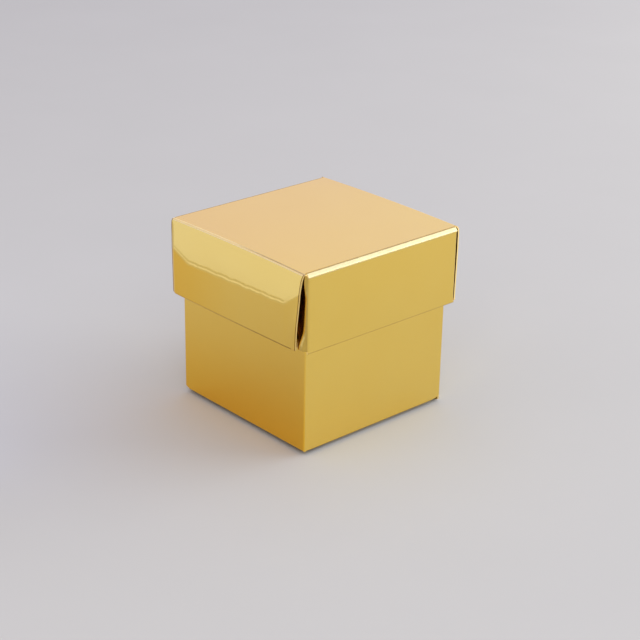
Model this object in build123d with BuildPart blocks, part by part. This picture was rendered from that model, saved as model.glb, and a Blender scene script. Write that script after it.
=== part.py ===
"""Two-part favor box of scored card: a square sleeve with a tuck bottom, and a loose lift-off lid.

Every panel between two creases is its own solid. Millimetres, +Z up, the origin on the floor under the
middle of the box. The front faces -Y and the right side faces +X.
"""

import os

from build123d import *

# Card
card = 0.4
crease_radius = 0.3

# Base sleeve
base_side = 50.0
base_height = 51.0
seam_flap_width = 12.0
seam_flap_taper = 4.0
seam_flap_end_gap = 2.0

# Tuck bottom
bottom_side_inset = 0.3
dust_flap_clearance = 0.1
dust_flap_spacing = 10.0
dust_flap_relief = 1.5
dust_flap_taper = 3.0
tongue_height = 8.0
tongue_lean = 8.0
tongue_wall_clearance = 0.8
tongue_flap_clearance = 1.6
tongue_end_inset = 3.0
tongue_corner_radius = 3.0

# Lid
skirt_depth = 21.5
hem_depth = 11.5
hem_end_inset = 1.6
hem_end_taper = 4.0
cover_end_inset = 0.6
cover_end_taper = 1.4
ear_wall_clearance = 0.8
ear_hem_clearance = 0.2
ear_drop = 2.5
ear_rise = 0.6
ear_tip_width = 5.0

# Sizes and places that follow from the ones above
fold_radius = min(crease_radius, 0.75 * card)
hem_fold_radius = 0.9 * card
base_half = base_side / 2
dust_flap_level = card + dust_flap_clearance
dust_flap_depth = base_half - dust_flap_spacing / 2
tongue_face_reach = base_half - card - tongue_wall_clearance
tongue_half_width = base_half - card - tongue_end_inset
ear_face_reach = base_half + ear_wall_clearance + card
lid_half = ear_face_reach + ear_hem_clearance + 2 * card
lid_height = base_height + card
cover_top_half = lid_half - cover_end_inset
cover_foot_half = cover_top_half - cover_end_taper
hem_foot_half = cover_foot_half - hem_end_inset
hem_top_half = hem_foot_half - hem_end_taper
hem_top = hem_depth - skirt_depth
ear_foot = skirt_depth - ear_rise
ear_length = ear_foot - ear_tip_width - ear_drop

# Each side of the box by the turn about the upright axis that carries the front there
sides = {0: "front", 90: "right", 180: "back", 270: "left"}
front, right, back, left = sides


def upright_face(turn, reach, height=0.0):
    """Outside of an upright panel, facing outwards: x runs along the side and y runs up."""
    side = Plane.XY.rotated((0, 0, turn))
    return Plane(side.from_local_coords(Vector(0, -reach, height)), x_dir=side.x_dir, z_dir=-side.y_dir)


def underside(turn, reach, height):
    """Outside of a level panel that faces down: x runs along its crease and y runs outwards."""
    side = Plane.XY.rotated((0, 0, turn))
    return Plane(side.from_local_coords(Vector(0, -reach, height)), x_dir=side.x_dir, z_dir=(0, 0, -1))


def crease(panel, face, folds, radius=fold_radius):
    """Round a panel's outer edges at its creases, and mitre each one halfway to the neighbour's face.

    Each fold gives the neighbour's face and a spot on the crease, in the panel's own face.
    """
    points = [face.from_local_coords(Vector(*spot)) for neighbour, spot in folds]
    if radius:
        fillet([panel.edges().sort_by_distance(point)[0] for point in points], radius=radius)
    for (neighbour, spot), point in zip(folds, points):
        split(bisect_by=Plane(point, z_dir=neighbour.z_dir - face.z_dir), keep=Keep.BOTTOM)


def save(panel, name):
    """Label a finished panel and write it under its own name."""
    panel.part.label = name
    export_step(panel.part, f"parts/{name}.step")


os.makedirs("parts", exist_ok=True)

# Outsides of the panels that lie flat or lean
lid_top_face = Plane.XY.offset(lid_height)
bottom_face = underside(front, base_half, 0)
tongue_face = upright_face(back, tongue_face_reach).rotated((tongue_lean, 0, 0))

# Base walls. The seam is at the back left corner: there the back wall folds into the seam flap, and the
# left wall laps over that fold with a plain cut end. The side walls end where their dust flaps fold in.
wall_feet = {front: 0.0, right: dust_flap_level, back: 0.0, left: dust_flap_level}
for turn, foot in wall_feet.items():
    face = upright_face(turn, base_half)
    start = -base_half
    end = base_half - card if turn == back else base_half
    middle = (foot + base_height) / 2
    folds = [(upright_face(turn + 90, base_half), (end, middle))]
    if turn != left:
        folds.append((upright_face(turn - 90, base_half), (start, middle)))
    if turn != back:
        folds.append((bottom_face, (0, foot)))
    with BuildPart() as base_wall:
        with BuildSketch(face):
            Polygon((start, foot), (end, foot), (end, base_height), (start, base_height), align=None)
        extrude(amount=-card)
        crease(base_wall, face, folds)
    save(base_wall, f"base_{sides[turn]}_wall")

# Seam flap: folded in from the back wall and glued flat inside the left wall.
seam_face = upright_face(left, base_half - card)
seam_low = dust_flap_level + card + seam_flap_end_gap
seam_high = base_height - seam_flap_end_gap
seam_edge = -base_half + seam_flap_width
with BuildPart() as seam_flap:
    with BuildSketch(seam_face):
        Polygon(
            (-base_half, seam_low),
            (seam_edge, seam_low + seam_flap_taper),
            (seam_edge, seam_high - seam_flap_taper),
            (-base_half, seam_high),
            align=None,
        )
    extrude(amount=-card)
    crease(seam_flap, seam_face, [(upright_face(back, base_half), (-base_half, (seam_low + seam_high) / 2))])
save(seam_flap, "base_seam_flap")

# Bottom panel: folded in from the front wall, under the dust flaps, as far as the tongue's fold.
bottom_length = base_half + tongue_face_reach
with BuildPart() as bottom_panel:
    with BuildSketch(bottom_face):
        with Locations((0, -bottom_length / 2)):
            Rectangle(base_side - 2 * bottom_side_inset, bottom_length)
    extrude(amount=-card)
    crease(bottom_panel, bottom_face, [(upright_face(front, base_half), (0, 0))])
    crease(bottom_panel, bottom_face, [(tongue_face, (0, -bottom_length))], radius=0)
save(bottom_panel, "bottom_panel")

# Tuck tongue: stands up inside the back wall and leans in, so that it clears the wall as the bottom opens.
with BuildPart() as tuck_tongue:
    with BuildSketch(tongue_face) as tongue_outline:
        with Locations((0, tongue_height / 2)):
            Rectangle(2 * tongue_half_width, tongue_height)
        fillet(tongue_outline.vertices().group_by(Axis.Y)[-1], radius=tongue_corner_radius)
    extrude(amount=-card)
    crease(tuck_tongue, tongue_face, [(bottom_face, (0, 0))], radius=0)
save(tuck_tongue, "bottom_tuck_tongue")

# Dust flaps: folded in from the side walls. The front edge is cut at 45 degrees, so that a flap which opens
# with the bottom panel stays clear of it, and the back edge is clear of the tongue.
for turn, forward in ((left, 1), (right, -1)):
    face = underside(turn, base_half, dust_flap_level)
    front_corner = base_half - dust_flap_relief
    back_corner = tongue_face_reach - tongue_flap_clearance
    with BuildPart() as dust_flap:
        with BuildSketch(face):
            Polygon(
                (forward * front_corner, 0),
                (forward * (front_corner - dust_flap_depth), -dust_flap_depth),
                (-forward * (back_corner - dust_flap_taper), -dust_flap_depth),
                (-forward * back_corner, 0),
                align=None,
            )
        extrude(amount=-card)
        crease(dust_flap, face, [(upright_face(turn, base_half), (forward * (front_corner - back_corner) / 2, 0))])
    save(dust_flap, f"bottom_dust_flap_{sides[turn]}")

# Lid top: a flat square, creased on all four sides.
with BuildPart() as lid_top:
    with BuildSketch(lid_top_face):
        Rectangle(2 * lid_half, 2 * lid_half)
    extrude(amount=-card)
    skirt_faces = [upright_face(turn, lid_half, lid_height) for turn in sides]
    crease(lid_top, lid_top_face, [(face, lid_top_face.to_local_coords(face.origin)) for face in skirt_faces])
save(lid_top, "lid_top")

# Cover skirts at the front and back: free, tapered ends, and a lower edge turned up inside as a glued hem,
# whose own ends slope in so that they stay clear of the skirt's.
for turn in (front, back):
    face = upright_face(turn, lid_half, lid_height)
    with BuildPart() as cover_skirt:
        with BuildSketch(face):
            Polygon(
                (-cover_top_half, 0),
                (cover_top_half, 0),
                (cover_foot_half, -skirt_depth),
                (-cover_foot_half, -skirt_depth),
                align=None,
            )
        extrude(amount=-card)
        crease(cover_skirt, face, [(lid_top_face, (0, 0))])
        foot_line = face.from_local_coords(Vector(0, -skirt_depth, 0))
        fillet(cover_skirt.edges().sort_by_distance(foot_line)[0], radius=hem_fold_radius)
    save(cover_skirt, f"lid_{sides[turn]}_cover_skirt")

    with BuildPart() as cover_hem:
        with BuildSketch(face.offset(-card)):
            Polygon(
                (-hem_foot_half, -skirt_depth),
                (hem_foot_half, -skirt_depth),
                (hem_top_half, hem_top),
                (-hem_top_half, hem_top),
                align=None,
            )
        extrude(amount=-card)
        foot_line = face.from_local_coords(Vector(0, -skirt_depth, -2 * card))
        fillet(cover_hem.edges().sort_by_distance(foot_line)[0], radius=hem_fold_radius)
    save(cover_hem, f"lid_{sides[turn]}_cover_hem")

# Ear skirts at the right and left: an ear folds in at each end, behind the cover skirts.
for turn in (right, left):
    face = upright_face(turn, lid_half, lid_height)
    folds = [(lid_top_face, (0, 0))]
    for end in (1, -1):
        folds.append((upright_face(turn + end * 90, lid_half), (end * ear_face_reach, -skirt_depth / 2)))
    with BuildPart() as ear_skirt:
        with BuildSketch(face):
            with Locations((0, -skirt_depth / 2)):
                Rectangle(2 * ear_face_reach, skirt_depth)
        extrude(amount=-card)
        crease(ear_skirt, face, folds)
    save(ear_skirt, f"lid_{sides[turn]}_ear_skirt")

# Ears: the upper edge falls away at 45 degrees, so that an ear which springs out stays behind its cover skirt.
for turn in (front, back):
    face = upright_face(turn, ear_face_reach, lid_height)
    for end in (1, -1):
        side_turn = (turn + end * 90) % 360
        with BuildPart() as ear:
            with BuildSketch(face):
                Polygon(
                    (end * lid_half, -ear_drop),
                    (end * lid_half, -ear_foot),
                    (end * (lid_half - ear_length), -ear_foot),
                    (end * (lid_half - ear_length), ear_tip_width - ear_foot),
                    align=None,
                )
            extrude(amount=-card)
            crease(ear, face, [(upright_face(side_turn, lid_half), (end * lid_half, -(ear_drop + ear_foot) / 2))])
        save(ear, f"lid_ear_{sides[turn]}_{sides[side_turn]}")
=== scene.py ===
"""Gold foil favor box: its folded card sheets, their finishes, a plain studio and the camera."""

import math

import bmesh
import bpy
from mathutils import Matrix, Vector, noise


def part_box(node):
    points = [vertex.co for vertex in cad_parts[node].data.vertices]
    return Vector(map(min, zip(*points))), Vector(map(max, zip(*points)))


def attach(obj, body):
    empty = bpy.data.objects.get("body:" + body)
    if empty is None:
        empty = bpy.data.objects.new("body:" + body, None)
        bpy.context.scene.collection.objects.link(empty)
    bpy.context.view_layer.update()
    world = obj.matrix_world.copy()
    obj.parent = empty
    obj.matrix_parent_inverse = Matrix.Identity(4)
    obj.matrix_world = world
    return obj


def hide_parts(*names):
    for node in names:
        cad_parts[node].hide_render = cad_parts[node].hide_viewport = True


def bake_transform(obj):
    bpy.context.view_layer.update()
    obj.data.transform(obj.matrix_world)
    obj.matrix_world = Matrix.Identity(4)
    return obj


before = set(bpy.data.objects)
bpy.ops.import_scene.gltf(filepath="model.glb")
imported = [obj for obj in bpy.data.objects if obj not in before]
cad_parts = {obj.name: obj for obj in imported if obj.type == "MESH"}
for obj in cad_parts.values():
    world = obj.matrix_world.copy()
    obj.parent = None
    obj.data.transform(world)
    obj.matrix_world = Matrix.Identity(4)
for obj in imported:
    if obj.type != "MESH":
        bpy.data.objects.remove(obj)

MM = 0.001
AXIS_X, AXIS_Y, AXIS_Z = Vector((1, 0, 0)), Vector((0, 1, 0)), Vector((0, 0, 1))
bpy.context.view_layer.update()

# Places read from the frame
wall_low, wall_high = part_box("base_front_wall")
seam_low, seam_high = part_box("base_seam_flap")
_, floor_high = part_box("bottom_panel")
tongue_low, tongue_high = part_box("bottom_tuck_tongue")
dust_low, dust_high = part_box("bottom_dust_flap_right")
cover_low, cover_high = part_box("lid_front_cover_skirt")
_, hem_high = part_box("lid_front_cover_hem")
ear_low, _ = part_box("lid_ear_front_right")

CARD = wall_high.y - wall_low.y
BASE_REACH = -wall_low.y
BASE_TOP = wall_high.z
LID_REACH = -cover_low.y
LID_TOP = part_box("lid_top")[1].z
SKIRT_FOOT = cover_low.z
COVER_HALF = cover_high.x
HEM_TOP = hem_high.z
EAR_REACH = -ear_low.y
EAR_TIP = ear_low.x
EAR_FOOT = ear_low.z

# Folds: each sheet takes in a narrow lap of its neighbour, so that the two meet on the flat
FOLD = 1.05 * CARD
FOLD_STEPS = 8
LAP = 0.3 * MM
BEAD_FACET = 0.76 * MM
BEAD_ROUND = 0.42 * MM
BEAD_ROWS = 4
BEAD_FALL = BEAD_FACET * math.sqrt(0.5) + BEAD_ROUND
EAR_TOP = LID_TOP - BEAD_FALL - LAP
SCORE_ROWS = 4
SCORE_DEPTH = 0.03 * MM
# Painted shade along the score line and the bead, under painted highlight on the bead
SCORE_SHADE = 0.7
SCORE_EDGE = 0.12 * MM
BEAD_SHADE = 0.5

# Cover skirts: how their ends are cut and how the card stands out over the hem and the ears
COVER_COLUMNS = 130
COLUMN_CROWD = 1.5
SKIRT_ROWS = 110
HEM_ROWS = 24
HEM_INSET = 1.6 * MM
HEM_TAPER = 0.35
NEAR_END_INSET = 0.45 * MM
NEAR_END_SHOULDER = 0.9 * MM
NEAR_END_SHOULDER_RUN = 1.2 * MM
NEAR_END_TAPER = 0.093
FAR_END_INSET = 0.25 * MM
FAR_END_TAPER = 0.02
FAR_CORNER_CUT = 0.9 * MM
FAR_CORNER_RUN = 0.45 * MM
UPPER_LEAN = 0.068
LOWER_LEAN = 0.02
RIDGE_SOFTNESS = 0.012 * MM
RIDGE_SKEW = 0.026
RIDGE_WANDER = 0.26 * MM
RIDGE_WAVE = 3.2 * MM
RIDGE_RIPPLE = 0.9 * MM
RIPPLE_SHARE = 0.6
RIDGE_FUZZ = 0.014 * MM
RIDGE_FUZZ_SPREAD = 0.9 * MM
NEAR_EAR_START = 19.8 * MM
NEAR_EAR_RISE = 0.76
FAR_EAR_START = 19.2 * MM
FAR_EAR_RISE = 0.38
EAR_FADE = 1.0 * MM
GROOVE_DEPTH = 0.03 * MM
GROOVE_WIDTH = 0.3 * MM
GROOVE_OVER_EARS = 0.5
GROOVE_ROUGHNESS = 1.6
WANDER_NOISE, RIPPLE_NOISE, GROOVE_NOISE = 0, 3, 7
# Painted shade along the cover skirts' cut ends
SHADED_END = 0.3 * MM
# Painted shade: a dark line low on the cover skirt over the hem's fold, growing towards the near end
HEM_SHADE = 0.25
HEM_SHADE_GAIN = 2.0
HEM_SHADE_HEIGHT = 1.1 * FOLD
# Painted dark reflection along the top of the cover creases, growing towards the near end
CREASE_SHADE = 0.7
CREASE_SHADE_SHARE = 0.35
CREASE_SHADE_START = -4.0 * MM
CREASE_SHADE_RUN = 16.0 * MM
# Painted warm reflection of the shaded floor on the cover skirt below the ridge, strongest towards the far
# end
COVER_REFLECTION = 0.9
COVER_REFLECTION_FALL = 0.6
COVER_REFLECTION_RUN = 0.6
COVER_REFLECTION_EDGE = 1.0 * MM
FAR_END_HUG = 0.7
FAR_END_HUG_RUN = 1.3 * MM
END_BOW = 0.3 * MM
END_BOW_RUN = 4.0 * MM
END_BOW_HEIGHT = 36.0 * MM
END_BOW_SPREAD = 5.0 * MM
CREASE_BOW = 0.4 * MM
CREASE_BOW_DEPTH = 9.0 * MM

# Ears, ear skirts and the lid's top
EAR_COLUMNS = 30
EAR_ROOT_COLUMNS = 2
EAR_ROWS = 36
EAR_FOOT_CURL = 0.55 * MM
EAR_FOOT_CURL_HEIGHT = 5.0 * MM
EAR_TOP_CURL = 0.4 * MM
EAR_TOP_CURL_HEIGHT = 6.0 * MM
EAR_CURL_REACH = 4.0 * MM
EAR_CURL_EDGE = 1.0 * MM
# Painted shade on the ears' leaves, in the gap behind the cover skirts' ends
EAR_SHADE = 0.42
SIDE_COLUMNS = 64
SIDE_BOW = 0.12 * MM
SIDE_EDGE_ROUND = 0.3 * MM
SIDE_EDGE_ROWS = 10
# Painted shade along the ear skirts' lower edge
SIDE_EDGE_SHADE = 2.0
TOP_CELLS = 40
TOP_CROWN = 0.15 * MM

# Base: the walls, and a bottom whose folds stand a little off the floor
WALL_COLUMNS = 80
WALL_ROWS = 40
WALL_BOW = 0.15 * MM
# Painted warm reflection on the front wall, strongest at the foot
WALL_REFLECTION_FALL = 0.6
FOOT_GAP = 1.0 * MM
FLAP_LIFT = 0.4 * MM
DUST_LEVEL = dust_low.z + FLAP_LIFT
# Painted contact shadow on the folds under the walls' feet
FOOT_SHADE = 1.4
FOOT_SHADE_GAIN = 2.0
CORNER_LIFT = 1.0 * MM
CORNER_LIFT_RUN = 2.4 * MM
BOTTOM_COLUMNS = 24
BOTTOM_ROWS = 48
BOTTOM_SAG_RUN = 10.0 * MM
BOTTOM_SIDE_INSET = 1.6 * MM
NEAR_CORNER_INSET = 0.3 * MM
NEAR_CORNER_RUN = 2.5 * MM
SEAM_COLUMNS = 12
SEAM_TAPER = 4.0 * MM
TONGUE_LEAN = 8.0
TONGUE_CORNER = 3.0 * MM
TONGUE_CORNER_STEPS = 8
DUST_COLUMNS = 20
DUST_ROWS = 16
DUST_TAPER = 3.0 * MM


def smooth_step(value):
    value = min(max(value, 0.0), 1.0)
    return value * value * (3 - 2 * value)


def hump(distance, width):
    """1 in the middle, falling off smoothly to both sides."""
    return math.exp(-((distance / width) ** 2))


# Sheet work: a sheet starts as a line, then runs flat and turns round its folds

def verts_of(edges):
    return list(dict.fromkeys(v for e in edges for v in e.verts))


def line(bm, start, end, parts):
    """A straight edge of a sheet, cut into equal parts."""
    edge = bm.edges.new([bm.verts.new(start), bm.verts.new(end)])
    bmesh.ops.subdivide_edges(bm, edges=[edge], cuts=parts - 1)
    return bm.edges[:]


def run(bm, edges, way, rows):
    """Carries an edge of the sheet on across the flat, and returns the new edge."""
    for _ in range(rows):
        made = bmesh.ops.extrude_edge_only(bm, edges=edges)["geom"]
        new = {v for v in made if isinstance(v, bmesh.types.BMVert)}
        bmesh.ops.translate(bm, verts=list(new), vec=Vector(way) / rows)
        edges = [e for e in made if isinstance(e, bmesh.types.BMEdge) and set(e.verts) <= new]
    return edges


def turn(bm, edges, centre, axis, degrees, steps=FOLD_STEPS):
    """Carries an edge of the sheet round a fold, and returns the new edge."""
    made = bmesh.ops.spin(
        bm, geom=verts_of(edges) + edges, cent=centre, axis=axis, angle=math.radians(degrees), steps=steps
    )
    return [e for e in made["geom_last"] if isinstance(e, bmesh.types.BMEdge)]


def sheet(name, bm, outside, finishes):
    """Makes a piece of card from a finished sheet whose first face looks outside."""
    bm.faces.ensure_lookup_table()
    bm.normal_update()
    if bm.faces[0].normal.dot(Vector(outside)) < 0:
        bmesh.ops.reverse_faces(bm, faces=bm.faces[:])
    for face in bm.faces:
        face.smooth = True
    for edge in bm.edges:
        edge.smooth = not edge.is_boundary
    mesh = bpy.data.meshes.new(name)
    bm.to_mesh(mesh)
    bm.free()
    for finish in finishes:
        mesh.materials.append(finish)
    piece = bpy.data.objects.new(name, mesh)
    bpy.context.scene.collection.objects.link(piece)
    card = piece.modifiers.new("card", "SOLIDIFY")
    card.thickness = CARD
    card.offset = -1
    card.use_even_offset = True
    card.material_offset = 1
    card.material_offset_rim = 2
    return piece


def foil_layer(bm, name):
    """How far painted shade darkens the foil, painted highlight pales it and painted warm reflection
    deepens it, at each point of a sheet.
    """
    return bm.verts.layers.float.new(name)


# Cover skirts

def cover_reach(side, z):
    """How far a cover skirt's cut end lies from the middle, on its near (1) or far (-1) end."""
    drop = LID_TOP - z
    if side < 0:
        corner = FAR_CORNER_CUT * math.exp(-drop / FAR_CORNER_RUN)
        return LID_REACH - FAR_END_INSET - corner - FAR_END_TAPER * drop
    shoulder = NEAR_END_SHOULDER * (1 - math.exp(-drop / NEAR_END_SHOULDER_RUN))
    return LID_REACH - NEAR_END_INSET - shoulder - NEAR_END_TAPER * drop


def ripple(along, across):
    """Smooth noise from -1 to 1."""
    return noise.noise(Vector((along, across, 0)))


def ridge_height(x):
    """Height of the line along which the hem's edge, and each ear's, presses through the skirt."""
    wander = RIDGE_WANDER * (
        ripple(x / RIDGE_WAVE, WANDER_NOISE) + RIPPLE_SHARE * ripple(x / RIDGE_RIPPLE, RIPPLE_NOISE)
    )
    near = NEAR_EAR_RISE * max(x - NEAR_EAR_START, 0)
    far = FAR_EAR_RISE * max(-x - FAR_EAR_START, 0)
    along = min(max(x, -FAR_EAR_START), NEAR_EAR_START)
    return HEM_TOP + RIDGE_SKEW * along + wander * over_hem(x) + near + far


def over_hem(x):
    """1 along the hem between the two ears, falling to 0 over them."""
    return smooth_step((NEAR_EAR_START - x) / EAR_FADE) * smooth_step((FAR_EAR_START + x) / EAR_FADE)


def cover_bulge(x, z):
    """How far the skirt stands out: it leans out as far as the ridge, and below that it hangs."""
    ridge = ridge_height(x)
    lean = UPPER_LEAN * (LID_TOP - z)
    hang = UPPER_LEAN * (LID_TOP - ridge) - LOWER_LEAN * max(x, 0) / COVER_HALF * (ridge - z)
    bulge = (lean + hang - math.hypot(lean - hang, RIDGE_SOFTNESS)) / 2
    rough = 1 + GROOVE_ROUGHNESS * ripple(x / RIDGE_RIPPLE, GROOVE_NOISE)
    groove = rough * over_hem(x) + GROOVE_OVER_EARS * (1 - over_hem(x))
    bulge -= GROOVE_DEPTH * groove * hump(z - ridge - GROOVE_WIDTH, GROOVE_WIDTH)
    fuzz = ripple(x / RIDGE_RIPPLE, z / RIDGE_RIPPLE) * hump(z - ridge, RIDGE_FUZZ_SPREAD)
    bulge += RIDGE_FUZZ * fuzz * over_hem(x)
    near_end = cover_reach(1, z) - x
    bow = smooth_step(1 - near_end / END_BOW_RUN) * hump(z - END_BOW_HEIGHT, END_BOW_SPREAD)
    far_end = cover_reach(-1, z) + x
    return bulge * (1 - FAR_END_HUG * smooth_step(1 - far_end / FAR_END_HUG_RUN)) + END_BOW * bow


def crease_bow(x, z):
    """How far the cover skirts' creases bow up along their middle, and the skirt's upper part with them."""
    return CREASE_BOW * (1 - (x / LID_REACH) ** 2) * smooth_step(1 - (LID_TOP - z) / CREASE_BOW_DEPTH)


def cover_sheet(side_turn):
    """Crease, skirt and turned-up hem in one strip; the back one is the front one turned half round."""
    bm = bmesh.new()
    painted_shade, painted_highlight, warm_reflection = (foil_layer(bm, name) for name in ("painted_shade", "painted_highlight", "warm_reflection"))
    start = FOLD + LAP - LID_REACH
    edge = line(bm, (-COVER_HALF, start, LID_TOP), (COVER_HALF, start, LID_TOP), COVER_COLUMNS)
    edge = run(bm, edge, (0, -LAP, 0), 1)
    edge = turn(bm, edge, (0, FOLD - LID_REACH, LID_TOP - FOLD), AXIS_X, 90)
    edge = run(bm, edge, (0, 0, SKIRT_FOOT + 2 * FOLD - LID_TOP), SKIRT_ROWS)
    edge = turn(bm, edge, (0, FOLD - LID_REACH, SKIRT_FOOT + FOLD), AXIS_X, 180)
    run(bm, edge, (0, 0, HEM_TOP - SKIRT_FOOT - FOLD), HEM_ROWS)
    for v in bm.verts:
        side = 1 if v.co.x > 0 else -1
        behind = (v.co.y + LID_REACH) / (2 * FOLD) if v.co.z < LID_TOP - 2 * FOLD else 0
        inset = HEM_INSET + HEM_TAPER * max(v.co.z - SKIRT_FOOT - FOLD, 0)
        along = 1 - (1 - abs(v.co.x) / COVER_HALF) ** COLUMN_CROWD
        v.co.x = side * along * (cover_reach(side, v.co.z) - inset * behind)
        end = cover_reach(side, v.co.z) - abs(v.co.x)
        across = (v.co.x + COVER_HALF) / (2 * COVER_HALF)
        # Painted shade: a dark line low on the skirt, over the hem's fold
        if v.co.z < SKIRT_FOOT + HEM_SHADE_HEIGHT and end > HEM_INSET:
            v[painted_shade] = HEM_SHADE * (1 + HEM_SHADE_GAIN * smooth_step(across))
        # Painted shade at the cut end
        if end < SHADED_END:
            v[painted_shade] = 1.0
        # Painted highlight paleness over the crease, and a painted dark reflection line along its top,
        # growing towards the near end
        if LID_TOP - FOLD < v.co.z < LID_TOP:
            v[painted_highlight] = 1.0
            if v.co.z > LID_TOP - CREASE_SHADE_SHARE * FOLD:
                v[painted_shade] = CREASE_SHADE * smooth_step((v.co.x - CREASE_SHADE_START) / CREASE_SHADE_RUN)
        # Painted warm reflection on the skirt below the ridge
        if behind < 0.5:
            v[warm_reflection] = smooth_step((ridge_height(v.co.x) - v.co.z) / COVER_REFLECTION_EDGE)
            v[warm_reflection] *= COVER_REFLECTION - COVER_REFLECTION_FALL * smooth_step(across / COVER_REFLECTION_RUN)
        if v.co.y < start - LAP / 2:
            v.co.y -= cover_bulge(v.co.x, v.co.z)
        v.co.z += crease_bow(v.co.x, v.co.z)
    bmesh.ops.rotate(bm, verts=bm.verts[:], cent=(0, 0, 0), matrix=Matrix.Rotation(side_turn, 3, "Z"))
    return bm


# Ear skirts and ears

def side_sheet(side_turn):
    """Beaded crease and plain skirt, notched at both ends where the ears fold away."""
    bm = bmesh.new()
    painted_shade, painted_highlight = (foil_layer(bm, name) for name in ("painted_shade", "painted_highlight"))
    start = BEAD_FALL + LAP - LID_REACH
    flat_half = EAR_REACH - FOLD - LAP
    ends = [bm.verts.new((x, start, LID_TOP)) for x in (-EAR_REACH, -flat_half, flat_half, EAR_REACH)]
    spans = [bm.edges.new(ends[i:i + 2]) for i in range(3)]
    bmesh.ops.subdivide_edges(bm, edges=spans[1:2], cuts=SIDE_COLUMNS - 1)
    facet = BEAD_FACET * math.sqrt(0.5)
    edge = run(bm, bm.edges[:], (0, -LAP, 0), SCORE_ROWS)
    edge = turn(bm, edge, (0, BEAD_FALL - LID_REACH, LID_TOP - BEAD_ROUND), AXIS_X, 45)
    edge = run(bm, edge, (0, -facet, -facet), BEAD_ROWS)
    edge = turn(bm, edge, (0, BEAD_ROUND - LID_REACH, LID_TOP - BEAD_FALL), AXIS_X, 45)
    edge = run(bm, edge, (0, 0, EAR_TOP - LID_TOP + BEAD_FALL), 1)
    edge = run(bm, edge, (0, 0, EAR_FOOT - EAR_TOP), EAR_ROWS)
    edge = run(bm, edge, (0, 0, SKIRT_FOOT + SIDE_EDGE_ROUND - EAR_FOOT), 1)
    run(bm, edge, (0, 0, -SIDE_EDGE_ROUND), SIDE_EDGE_ROWS)
    notch = [
        face for face in bm.faces
        if abs(face.calc_center_median().x) > flat_half and EAR_FOOT < face.calc_center_median().z < EAR_TOP
    ]
    bmesh.ops.delete(bm, geom=notch, context="FACES")
    for v in bm.verts:
        drop = max(LID_TOP - BEAD_FALL - v.co.z, 0) / (LID_TOP - SKIRT_FOOT)
        v.co.y -= SIDE_BOW * math.sin(math.pi * drop) * (1 - (v.co.x / EAR_REACH) ** 2)
        low = max(1 - (v.co.z - SKIRT_FOOT) / SIDE_EDGE_ROUND, 0)
        v.co.y += SIDE_EDGE_ROUND * (1 - math.sqrt(1 - min(low, 1) ** 2))
        # Painted shade along the lower edge
        v[painted_shade] = min(SIDE_EDGE_SHADE * low, 1)
        score = (start - v.co.y) / LAP
        # Painted highlight paleness on the bead, and painted shade along the score line
        if score > 0 and v.co.z > LID_TOP - BEAD_FALL:
            v[painted_highlight] = smooth_step((LID_TOP - v.co.z) / SCORE_EDGE)
            v[painted_shade] = SCORE_SHADE + (BEAD_SHADE - SCORE_SHADE) * v[painted_highlight]
        if 0 < score < 1:
            v.co.z -= SCORE_DEPTH * math.sin(math.pi * score) ** 2
    bmesh.ops.rotate(bm, verts=bm.verts[:], cent=(0, 0, 0), matrix=Matrix.Rotation(side_turn, 3, "Z"))
    return bm


def ear_sheet(side_x, side_y):
    """An ear: its fold from the skirt, and a leaf whose upper edge falls away to the tip."""
    bm = bmesh.new()
    painted_shade = foil_layer(bm, "painted_shade")
    fold_start = FOLD - EAR_REACH
    start = fold_start + LAP
    edge = line(bm, (LID_REACH, start, EAR_FOOT), (LID_REACH, start, EAR_TOP), EAR_ROWS)
    edge = run(bm, edge, (0, -LAP, 0), 1)
    edge = turn(bm, edge, (LID_REACH - FOLD, fold_start, 0), -AXIS_Z, 90)
    edge = run(bm, edge, (FOLD - BEAD_FALL, 0, 0), EAR_ROOT_COLUMNS)
    run(bm, edge, (EAR_TIP - LID_REACH + BEAD_FALL, 0, 0), EAR_COLUMNS)
    for v in bm.verts:
        fall = LID_REACH - v.co.x
        height = (v.co.z - EAR_FOOT) / (EAR_TOP - EAR_FOOT)
        rise = min(fall, BEAD_FALL) * (LID_TOP - CARD - EAR_TOP) / BEAD_FALL - max(fall - BEAD_FALL, 0)
        v.co.z = EAR_FOOT + height * (EAR_TOP - EAR_FOOT + rise)
        curl = EAR_FOOT_CURL * smooth_step(1 - (v.co.z - EAR_FOOT) / EAR_FOOT_CURL_HEIGHT)
        curl += EAR_TOP_CURL * smooth_step(1 - (EAR_TOP - v.co.z) / EAR_TOP_CURL_HEIGHT)
        root = smooth_step((fall - FOLD) / EAR_CURL_EDGE)
        v.co.y -= curl * root * smooth_step((EAR_CURL_REACH - fall) / EAR_CURL_EDGE)
        # Painted shade on the leaf beyond the fold
        v[painted_shade] = EAR_SHADE * smooth_step(fall / FOLD)
    bmesh.ops.scale(bm, verts=bm.verts[:], vec=(side_x, -side_y, 1))
    return bm


# Lid top

def top_sheet():
    """Flat top between the laps of the four creases, with a trace of crown."""
    bm = bmesh.new()
    half = Vector((LID_REACH - BEAD_FALL - LAP, LID_REACH - FOLD - LAP, 0))
    bmesh.ops.create_grid(bm, x_segments=TOP_CELLS, y_segments=TOP_CELLS, size=1)
    for v in bm.verts:
        crown = TOP_CROWN * ((1 - v.co.x ** 2) * (1 - v.co.y ** 2)) ** 2
        x = v.co.x * half.x
        v.co = Vector((x, v.co.y * half.y, LID_TOP + crown + crease_bow(x, LID_TOP) * v.co.y ** 2))
    return bm


# Base

def corner_lift(place):
    """How far the walls' feet are rounded off at the corners, all but the near one."""
    if place.x > 0 > place.y:
        return 0
    spare = BASE_REACH - min(abs(place.x), abs(place.y))
    along = min(spare / CORNER_LIFT_RUN, 1)
    return CORNER_LIFT * (1 - math.sqrt(1 - (1 - along) ** 2))


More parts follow.
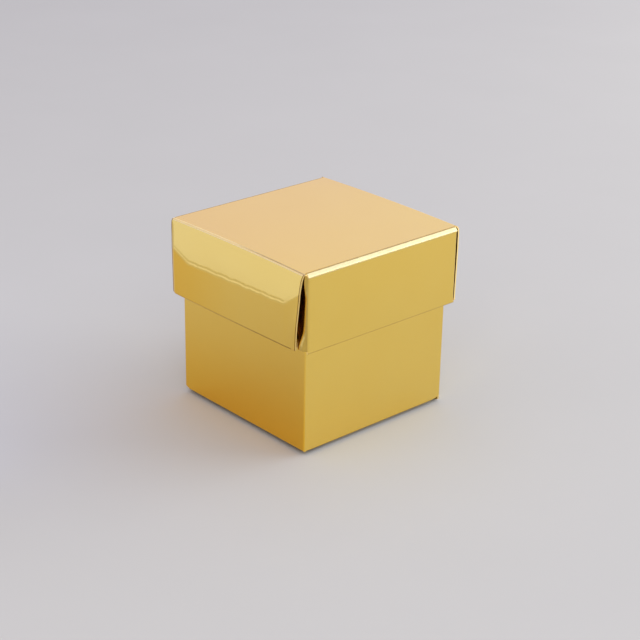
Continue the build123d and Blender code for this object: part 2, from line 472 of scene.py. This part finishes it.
def sleeve_sheet():
    """Four walls in one strip, from the cut end at the back left corner round to the seam flap."""
    bm = bmesh.new()
    warm_reflection = foil_layer(bm, "warm_reflection")
    reach = BASE_REACH - FOLD
    corners = [(-reach, -reach), (reach, -reach), (reach, reach), (-reach + CARD, reach)]
    ways = [Vector((0, -1, 0)), Vector((1, 0, 0)), Vector((0, 1, 0)), Vector((-1, 0, 0))]
    edge = line(bm, (-BASE_REACH, BASE_REACH, 0), (-BASE_REACH, BASE_REACH, BASE_TOP), WALL_ROWS)
    lengths = [BASE_REACH + reach, 2 * reach, 2 * reach, 2 * reach - CARD]
    for corner, way, length in zip(corners, ways, lengths):
        edge = run(bm, edge, way * length, WALL_COLUMNS)
        edge = turn(bm, edge, (*corner, 0), AXIS_Z, 90)
    flap = run(bm, edge, (0, seam_low.y - reach, 0), SEAM_COLUMNS)
    inside = set(verts_of(flap)) | {
        v for v in bm.verts if abs(v.co.x + BASE_REACH - CARD) < CARD / 8 and abs(v.co.y) < reach + FOLD / 8
    }
    for v in bm.verts:
        side = abs(v.co.x) > BASE_REACH - CARD / 2
        front = v.co.y < FOLD / 2 - BASE_REACH
        foot = DUST_LEVEL + FOLD if side else FOOT_GAP + FOLD if front else 0
        if v.co.x > 0 and v.co.y < dust_low.y and not front:
            foot = FOOT_GAP + FOLD * (v.co.y + BASE_REACH) / (dust_low.y + BASE_REACH)
        foot += corner_lift(v.co)
        top = BASE_TOP
        if v in inside:
            narrow = (reach - v.co.y) / (reach - seam_low.y) * SEAM_TAPER
            foot = seam_low.z + narrow
            top = seam_high.z - narrow
        height = v.co.z / BASE_TOP
        v.co.z = foot + (top - foot) * height
        # Painted warm reflection on the front wall, strongest at the foot
        if front:
            v[warm_reflection] = 1 - WALL_REFLECTION_FALL * smooth_step(v.co.z / SKIRT_FOOT)
        bow = WALL_BOW * math.sin(math.pi * height)
        if v not in inside and side:
            v.co.x += math.copysign(bow * max(1 - (v.co.y / reach) ** 2, 0), v.co.x)
        elif v not in inside:
            v.co.y += math.copysign(bow * max(1 - (v.co.x / reach) ** 2, 0), v.co.y)
    return bm


def foot_shade(drop, inward):
    """Painted contact shadow: how far painted shade darkens the foil below a fold at the foot, fading out
    inwards.
    """
    return FOOT_SHADE * smooth_step(FOOT_SHADE_GAIN * drop / FOLD) * smooth_step(1 - inward / BOTTOM_SAG_RUN)


def bottom_sheet():
    """Bottom panel, from its fold under the front wall to the tongue's fold."""
    bm = bmesh.new()
    painted_shade = foil_layer(bm, "painted_shade")
    half, level = BASE_REACH - BOTTOM_SIDE_INSET, FOOT_GAP + FOLD
    edge = line(bm, (-half, -BASE_REACH, level), (half, -BASE_REACH, level), BOTTOM_COLUMNS)
    edge = turn(bm, edge, (0, FOLD - BASE_REACH, level), AXIS_X, 90)
    run(bm, edge, (0, tongue_start() + BASE_REACH - FOLD, 0), BOTTOM_ROWS)
    for v in bm.verts:
        inward = v.co.y + BASE_REACH - FOLD
        # Painted contact shadow under the front fold
        v[painted_shade] = foot_shade(level - v.co.z, inward)
        v.co.z -= FOOT_GAP * smooth_step(inward / BOTTOM_SAG_RUN)
        if v.co.x > 0:
            near_corner = 1 - smooth_step(inward / NEAR_CORNER_RUN)
            v.co.x *= 1 + near_corner * (BOTTOM_SIDE_INSET - NEAR_CORNER_INSET) / half
    return bm


def tongue_start():
    """Where the bottom panel starts to turn up into the tongue."""
    return floor_high.y - FOLD * math.tan(math.radians(90 + TONGUE_LEAN) / 2)


def tongue_sheet():
    """Tuck tongue, turned up past upright, with round corners."""
    bm = bmesh.new()
    edge = line(bm, (tongue_low.x, tongue_start(), 0), (tongue_high.x, tongue_start(), 0), 2)
    edge = turn(bm, edge, (0, tongue_start(), FOLD), AXIS_X, 90 + TONGUE_LEAN)
    lean = math.radians(TONGUE_LEAN)
    up = Vector((0, -math.sin(lean), math.cos(lean)))
    rise = (tongue_high.z - edge[0].verts[0].co.z) / up.z
    edge = run(bm, edge, up * rise, 1)
    corners = [v for v in verts_of(edge) if abs(v.co.x) > tongue_high.x / 2]
    bmesh.ops.bevel(
        bm, geom=corners, offset=TONGUE_CORNER, offset_type="OFFSET", affect="VERTICES",
        segments=TONGUE_CORNER_STEPS, profile=0.5, material=-1,
    )
    return bm


def dust_sheet(side_x):
    """Dust flap, folded in from a side wall; its front edge is cut away so that it swings clear."""
    bm = bmesh.new()
    painted_shade = foil_layer(bm, "painted_shade")
    level = DUST_LEVEL + FOLD
    edge = line(bm, (BASE_REACH, dust_low.y, level), (BASE_REACH, dust_high.y, level), DUST_COLUMNS)
    edge = turn(bm, edge, (BASE_REACH - FOLD, 0, level), AXIS_Y, 90)
    run(bm, edge, (dust_low.x - BASE_REACH + FOLD, 0, 0), DUST_ROWS)
    length = dust_high.y - dust_low.y
    for v in bm.verts:
        inward = BASE_REACH - v.co.x
        # Painted contact shadow under the side fold
        v[painted_shade] = foot_shade(level - v.co.z, inward)
        front = dust_low.y + inward
        back = dust_high.y - DUST_TAPER * inward / (BASE_REACH - dust_low.x)
        v.co.y = front + (back - front) * (v.co.y - dust_low.y) / length
    bmesh.ops.scale(bm, verts=bm.verts[:], vec=(side_x, 1, 1))
    return bm


# Finishes: sums of sockets are written as plain arithmetic

class Value:
    """A number that varies over a surface."""

    def __init__(self, finish, socket):
        self.finish = finish
        self.socket = socket

    def sum(self, operation, first, second):
        return self.finish.node("ShaderNodeMath", {"operation": operation}, {0: first, 1: second})

    def __add__(self, other):
        return self.sum("ADD", self, other)

    def __sub__(self, other):
        return self.sum("SUBTRACT", self, other)

    def __rsub__(self, other):
        return self.sum("SUBTRACT", other, self)

    def __mul__(self, other):
        return self.sum("MULTIPLY", self, other)

    __radd__ = __add__
    __rmul__ = __mul__


class Finish:
    """A material, or the studio's surround, built up node by node."""

    def __init__(self, owner):
        owner.use_nodes = True
        self.owner = owner
        self.tree = owner.node_tree

    def node(self, kind, settings, sockets, output=0):
        """Adds a node: its settings first, then the values or links of its sockets."""
        made = self.tree.nodes.new(kind)
        for name, value in settings.items():
            setattr(made, name, value)
        for name, value in sockets.items():
            self.feed(made.inputs[name], value)
        return Value(self, made.outputs[output])

    def feed(self, socket, value):
        if isinstance(value, Value):
            self.tree.links.new(value.socket, socket)
        else:
            socket.default_value = value

    def shader(self, **sockets):
        """Sets the sockets of the material's own shader, named with underscores for spaces."""
        own = self.tree.nodes["Principled BSDF"]
        for name, value in sockets.items():
            self.feed(own.inputs[name.replace("_", " ")], value)

    def place(self):
        return self.node("ShaderNodeTexCoord", {}, {}, "Object")

    def layer(self, name):
        """A value kept at the points of the sheet itself."""
        return self.node("ShaderNodeAttribute", {"attribute_name": name}, {}, "Fac")

    def grain(self, size, detail=2.0, stretch=(1, 1, 1)):
        """Soft noise whose spots are about that large, in metres."""
        spot = self.node("ShaderNodeMapping", {}, {"Vector": self.place(), "Scale": stretch})
        return self.node("ShaderNodeTexNoise", {}, {"Vector": spot, "Scale": 1 / size, "Detail": detail})

    def blend(self, factor, first, second):
        return self.node("ShaderNodeMix", {"data_type": "RGBA"}, {0: factor, 6: first, 7: second}, 2)

    def bump(self, height, depth):
        """Normals from a height from 0 to 1, of that depth in metres."""
        return self.node("ShaderNodeBump", {}, {"Height": height, "Distance": depth})


DEEP_FOIL = (0.95, 0.655, 0.115, 1)
BRIGHT_FOIL = (0.97, 0.685, 0.135, 1)
# Painted warm reflection: the orange the foil takes on the front faces
WARM_REFLECTION_FOIL = (0.98, 0.58, 0.06, 1)
# Painted shade: the dark colour the foil takes in creases, gaps and under folds
SHADE_FOIL = (0.2, 0.09, 0.01, 1)
# Painted highlight: the pale colour of the creases' and the bead's bright glints
HIGHLIGHT_FOIL = (1.0, 0.88, 0.45, 1)
BOARD_WAVE = 14 * MM
ORANGE_PEEL = 1.3 * MM
FINE_GRAIN = 0.25 * MM
FOIL_RELIEF = 0.05 * MM
FOIL_ROUGHNESS = 0.1
HIGHLIGHT_ROUGHNESS = 0.35
LACQUER = 0.6
LACQUER_ROUGHNESS = 0.06
DEEP_INSIDE = (0.72, 0.42, 0.08, 1)
PALE_INSIDE = (0.84, 0.54, 0.12, 1)
INSIDE_CLOUD = 6 * MM
INSIDE_FIBRE = 0.3 * MM
INSIDE_FIBRE_STRETCH = (1, 0.35, 1)
INSIDE_RELIEF = 0.04 * MM
INSIDE_ROUGHNESS = 0.2
DEEP_CORE = (0.74, 0.51, 0.14, 1)
PALE_CORE = (0.95, 0.76, 0.28, 1)
CORE_FIBRE = 0.12 * MM
CORE_RELIEF = 0.03 * MM
CORE_ROUGHNESS = 0.85


def gold_foil():
    """Foil laminated on card: bright gold with board waviness, orange peel and a fine grain."""
    finish = Finish(bpy.data.materials.new("gold_foil"))
    wave = finish.grain(BOARD_WAVE, 1.0)
    peel = finish.grain(ORANGE_PEEL, 2.0)
    fine = finish.grain(FINE_GRAIN, 3.0)
    # Painted shade, painted highlight and painted warm reflection, read from the sheets' own layers
    shade_amount = finish.layer("painted_shade") * (0.5 + 0.5 * peel)
    highlight_amount = finish.layer("painted_highlight") * (0.7 + 0.5 * fine)
    warm_reflection = finish.layer("warm_reflection")
    clean = finish.blend(warm_reflection, finish.blend(wave, DEEP_FOIL, BRIGHT_FOIL), WARM_REFLECTION_FOIL)
    finish.shader(
        Base_Color=finish.blend(shade_amount, finish.blend(highlight_amount, clean, HIGHLIGHT_FOIL), SHADE_FOIL),
        Metallic=1.0,
        Roughness=FOIL_ROUGHNESS + 0.06 * fine + 0.03 * peel + HIGHLIGHT_ROUGHNESS * highlight_amount,
        Coat_Weight=LACQUER * (1 - warm_reflection) * (1 - shade_amount),
        Coat_Roughness=LACQUER_ROUGHNESS,
        Normal=finish.bump(wave + 0.06 * peel + 0.006 * fine, FOIL_RELIEF),
    )
    return finish.owner


def inside_foil():
    """Inside of the card: the same foil without its lacquer, so duller and deeper."""
    finish = Finish(bpy.data.materials.new("inside_foil"))
    cloud = finish.grain(INSIDE_CLOUD, 3.0)
    fibre = finish.grain(INSIDE_FIBRE, 4.0, INSIDE_FIBRE_STRETCH)
    finish.shader(
        Base_Color=finish.blend(cloud, DEEP_INSIDE, PALE_INSIDE),
        Metallic=1.0,
        Roughness=INSIDE_ROUGHNESS + 0.1 * fibre,
        Normal=finish.bump(cloud + 0.1 * fibre, INSIDE_RELIEF),
    )
    return finish.owner


def cut_edge():
    """Die-cut edge: cream core, with the layers of the board along it."""
    finish = Finish(bpy.data.materials.new("cut_edge"))
    fibre = finish.grain(CORE_FIBRE, 4.0)
    finish.shader(
        Base_Color=finish.blend(fibre, DEEP_CORE, PALE_CORE),
        Roughness=CORE_ROUGHNESS,
        Normal=finish.bump(fibre, CORE_RELIEF),
    )
    return finish.owner


# Studio

FLOOR_DROP = 0.02 * MM
FLOOR_HALF = 12.0
DEEP_FLOOR = (0.487, 0.484, 0.418, 1)
PALE_FLOOR = (0.507, 0.504, 0.436, 1)
FLOOR_MOTTLE = 0.05
FLOOR_ROUGHNESS = 0.8
FLOOR_SHEEN = 0.2
AIM = Vector((0, 0, 0.02))
REAR_WAY = Vector((0.402, 0.862, 0.309))
REAR_DISTANCE = 0.9
REAR_WIDTH = 0.9
REAR_HEIGHT = 0.5
REAR_LEVEL = 4.35
FRONT_WAY = Vector((0.644, -0.579, 0.5))
FRONT_DISTANCE = 0.9
FRONT_WIDTH = 0.6
FRONT_HEIGHT = 0.5
FRONT_LEVEL = 2.2
LEFT_WAY = Vector((-0.262, -0.720, 0.643))
LEFT_DISTANCE = 0.9
LEFT_WIDTH = 0.6
LEFT_HEIGHT = 0.5
LEFT_LEVEL = 0.62
WHITE = (1.0, 1.0, 1.0)
FILL_PLACE = Vector((-0.09, -0.105, 0.03))
FILL_AIM = Vector((-0.09, 0, 0.03))
FILL_WIDTH = 0.14
FILL_HEIGHT = 0.054
FILL_LEVEL = 0.68
FILL_TINT = (0.34, 0.44, 1.0)
COOL_SIDE = Vector((0.241, 0.567, 0.788))
COOL_GLOW = (1.15, 1.44, 2.21, 1)
WARM_GLOW = (0.71, 0.5, 0.4, 1)
WARM_END = -0.3
COOL_START = 1.8


def pale_floor():
    """Plain pale paper, with the faintest mottle."""
    finish = Finish(bpy.data.materials.new("pale_floor"))
    mottle = finish.grain(FLOOR_MOTTLE, 3.0)
    finish.shader(
        Base_Color=finish.blend(mottle, DEEP_FLOOR, PALE_FLOOR),
        Roughness=FLOOR_ROUGHNESS,
        Specular_IOR_Level=FLOOR_SHEEN,
    )
    bm = bmesh.new()
    bmesh.ops.create_grid(bm, x_segments=1, y_segments=1, size=FLOOR_HALF)
    bmesh.ops.translate(bm, verts=bm.verts[:], vec=(0, 0, -FLOOR_DROP))
    mesh = bpy.data.meshes.new("floor")
    bm.to_mesh(mesh)
    bm.free()
    mesh.materials.append(finish.owner)
    floor = bpy.data.objects.new("floor", mesh)
    bpy.context.scene.collection.objects.link(floor)


def soft_light(name, place, aim, width, height, level, tint):
    """A flat soft light whose face is as bright as that level."""
    lamp = bpy.data.lights.new(name, "AREA")
    lamp.shape = "RECTANGLE"
    lamp.size = width
    lamp.size_y = height
    lamp.energy = level * math.pi * width * height
    lamp.color = tint
    light = bpy.data.objects.new(name, lamp)
    facing = (aim - place).to_track_quat("-Z", "Y").to_matrix()
    light.matrix_world = Matrix.Translation(place) @ facing.to_4x4()
    light.visible_camera = False
    bpy.context.scene.collection.objects.link(light)


def surround():
    """Pale surround, warm low down in front and cooler overhead and behind."""
    world = bpy.data.worlds.new("surround")
    bpy.context.scene.world = world
    finish = Finish(world)
    way = finish.node("ShaderNodeTexCoord", {}, {}, "Generated")
    facing = finish.node(
        "ShaderNodeVectorMath", {"operation": "DOT_PRODUCT"}, {0: way, 1: COOL_SIDE}, "Value"
    )
    share = finish.node(
        "ShaderNodeMapRange", {"interpolation_type": "SMOOTHSTEP"},
        {"Value": facing, "From Min": WARM_END, "From Max": COOL_START},
    )
    glow = finish.blend(share, WARM_GLOW, COOL_GLOW)
    finish.feed(finish.tree.nodes["Background"].inputs["Color"], glow)


# Camera, worked out from the box's corners in the photograph
VIEW_AZIMUTH = math.radians(47.7)
VIEW_HEIGHT = math.radians(23.55)
VIEW_ROLL = math.radians(1.04)
VIEW_DISTANCE = 428.6 * MM
VIEW_SHIFT = 1.84 * MM
VIEW_LEVEL = 23.0 * MM
SENSOR = 36.0
IMAGE_SIDE = 640
FOCAL_PIXELS = 1573
NEAREST_SEEN = 10 * MM


def camera():
    back = Vector((
        math.sin(VIEW_AZIMUTH) * math.cos(VIEW_HEIGHT),
        -math.cos(VIEW_AZIMUTH) * math.cos(VIEW_HEIGHT),
        math.sin(VIEW_HEIGHT),
    ))
    across = Vector((math.cos(VIEW_AZIMUTH), math.sin(VIEW_AZIMUTH), 0))
    up = back.cross(across)
    rolled = across * math.cos(VIEW_ROLL) + up * math.sin(VIEW_ROLL)
    lens = bpy.data.cameras.new("camera")
    lens.sensor_width = SENSOR
    lens.lens = FOCAL_PIXELS / IMAGE_SIDE * SENSOR
    lens.clip_start = NEAREST_SEEN
    eye = bpy.data.objects.new("camera", lens)
    place = Vector((0, 0, VIEW_LEVEL)) + back * VIEW_DISTANCE + across * VIEW_SHIFT
    axes = Matrix((rolled, back.cross(rolled), back)).transposed()
    eye.matrix_world = Matrix.Translation(place) @ axes.to_4x4()
    bpy.context.scene.collection.objects.link(eye)
    bpy.context.scene.camera = eye


# The box
card_finishes = [gold_foil(), inside_foil(), cut_edge()]

top = sheet("lid_top_sheet", top_sheet(), AXIS_Z, card_finishes)
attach(top, "lid_top")
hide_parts("lid_top")

for side, side_turn in (("front", 0), ("back", math.pi)):
    cover = sheet(f"{side}_cover_sheet", cover_sheet(side_turn), AXIS_Z, card_finishes)
    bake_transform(cover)
    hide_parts(f"lid_{side}_cover_skirt", f"lid_{side}_cover_hem")

for side, side_turn in (("right", math.pi / 2), ("left", -math.pi / 2)):
    skirt = sheet(f"{side}_ear_skirt_sheet", side_sheet(side_turn), AXIS_Z, card_finishes)
    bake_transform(skirt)
    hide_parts(f"lid_{side}_ear_skirt")

for side, side_x in (("right", 1), ("left", -1)):
    for face, side_y in (("front", -1), ("back", 1)):
        ear = sheet(f"ear_{face}_{side}_sheet", ear_sheet(side_x, side_y), (side_x, 0, 0), card_finishes)
        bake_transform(ear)
        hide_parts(f"lid_ear_{face}_{side}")

sleeve = sheet("base_sleeve", sleeve_sheet(), (-1, 0, 0), card_finishes)
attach(sleeve, "base")
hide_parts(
    "base_front_wall", "base_right_wall", "base_back_wall", "base_left_wall", "base_seam_flap"
)

bottom = sheet("bottom_panel_sheet", bottom_sheet(), (0, -1, 0), card_finishes)
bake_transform(bottom)
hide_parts("bottom_panel")

tongue = sheet("tuck_tongue_sheet", tongue_sheet(), (0, 0, -1), card_finishes)
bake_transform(tongue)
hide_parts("bottom_tuck_tongue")

for side, side_x in (("right", 1), ("left", -1)):
    flap = sheet(f"dust_flap_{side}_sheet", dust_sheet(side_x), (side_x, 0, 0), card_finishes)
    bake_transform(flap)
    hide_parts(f"bottom_dust_flap_{side}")

pale_floor()
soft_light("rear", REAR_WAY * REAR_DISTANCE, AIM, REAR_WIDTH, REAR_HEIGHT, REAR_LEVEL, WHITE)
soft_light("front", FRONT_WAY * FRONT_DISTANCE, AIM, FRONT_WIDTH, FRONT_HEIGHT, FRONT_LEVEL, WHITE)
soft_light("left", LEFT_WAY * LEFT_DISTANCE, AIM, LEFT_WIDTH, LEFT_HEIGHT, LEFT_LEVEL, WHITE)
soft_light("fill", FILL_PLACE, FILL_AIM, FILL_WIDTH, FILL_HEIGHT, FILL_LEVEL, FILL_TINT)
surround()
camera()
bpy.context.scene.view_settings.view_transform = "Standard"
